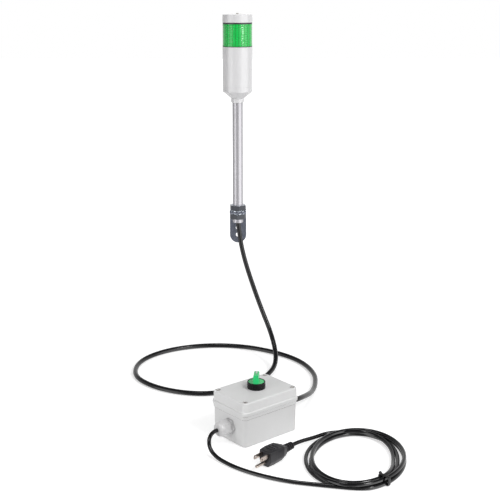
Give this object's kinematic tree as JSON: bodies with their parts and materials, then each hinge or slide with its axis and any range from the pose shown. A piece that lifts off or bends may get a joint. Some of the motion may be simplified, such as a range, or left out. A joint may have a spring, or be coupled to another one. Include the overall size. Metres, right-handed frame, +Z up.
{
  "type": "stack light",
  "caption": "Signal tower light with a green lens on a pole and wall bracket, wired to a selector-switch box with a mains cord and plug.",
  "frame": {"origin": "centre of the bracket's two screw holes, on the bracket's face that meets the wall", "axes": "+Z up along the pole, +Y out of the bracket's mounting face and into the wall, +X to the right seen from the front"},
  "size_m": [0.4629, 0.633, 0.6591],
  "materials": {
    "white_plastic": "semi-gloss",
    "green_lens": "clear",
    "black_rubber": "matt",
    "black_plastic": "satin",
    "pole_aluminium": "satin",
    "plated_steel": "zinc plated",
    "coated_steel": "grey plated",
    "stainless_steel": "plain",
    "box_plastic": "fine texture",
    "gland_nylon": "satin",
    "knob_green": "semi-gloss",
    "marker_white": "semi-gloss",
    "contact_plastic": "satin",
    "board_green": "satin",
    "led_chip": "clear",
    "component_dark": "satin",
    "terminal_grey": "satin",
    "core_sheath": "satin",
    "cable_black": "satin",
    "blade_brass": "nickel plated"
  },
  "bodies": {
    "tower_and_box": {"bracket": "coated_steel", "pole": "pole_aluminium", "upper_nut": "coated_steel", "lower_nut": "coated_steel", "upper_tooth_washer": "plated_steel", "lower_tooth_washer": "plated_steel", "pole_grommet": "black_rubber", "pole_cable": "cable_black", "pole_base": "white_plastic", "pole_set_screw": "stainless_steel", "body_housing": "white_plastic", "lower_seal": "black_rubber", "lens": "green_lens", "upper_seal": "black_rubber", "top_cap": "white_plastic", "cap_screw": "stainless_steel", "tie_rod": "stainless_steel", "led_column": "white_plastic", "led_boards": "board_green", "led_chips": "led_chip", "driver_board": "board_green", "driver_capacitors": "component_dark", "driver_choke": "component_dark", "driver_terminal": "terminal_grey", "lamp_cores": "core_sheath", "box_base": "box_plastic", "box_lid": "box_plastic", "lid_gasket": "black_rubber", "lid_screws": "stainless_steel", "switch_bezel": "black_plastic", "bezel_seal": "black_rubber", "switch_nut": "black_plastic", "contact_block": "contact_plastic", "contact_screws": "stainless_steel", "plunger_spring": "stainless_steel", "terminal_strip": "terminal_grey", "terminal_screws": "stainless_steel", "inner_wires": "core_sheath", "power_gland_body": "gland_nylon", "power_gland_cap": "gland_nylon", "power_gland_seal": "black_rubber", "power_gland_locknut": "gland_nylon", "power_cord_entry": "cable_black", "lamp_gland_body": "gland_nylon", "lamp_gland_cap": "gland_nylon", "lamp_gland_seal": "black_rubber", "lamp_gland_locknut": "gland_nylon", "lamp_cord_entry": "cable_black", "lamp_cable": "cable_black", "power_cord_lead": "cable_black", "power_cord_coil": "cable_black", "power_cord_tail": "cable_black", "twist_tie": "black_plastic", "plug_body": "cable_black", "flat_blades": "blade_brass", "ground_pin": "blade_brass"},
    "selector": {"selector_knob": "knob_green", "knob_marker": "marker_white"},
    "plunger": {"plunger": "knob_green"}
  },
  "joints": [
    {"name": "selector_turn", "type": "hinge", "parent": "tower_and_box", "child": "selector", "pos_m": [0.03365, -0.4113, -0.1525], "axis": [0, 0, 1], "range_deg": [0, 90]},
    {"name": "plunger_slide", "type": "slide", "parent": "tower_and_box", "child": "plunger", "axis": [0, 0, 1], "range_m": [-0.00205, 0], "deforming": ["plunger_spring"]}
  ],
  "couplings": [
    {"joint": "plunger_slide", "follows": "selector_turn", "m_per_rad": -0.0012732}
  ]
}
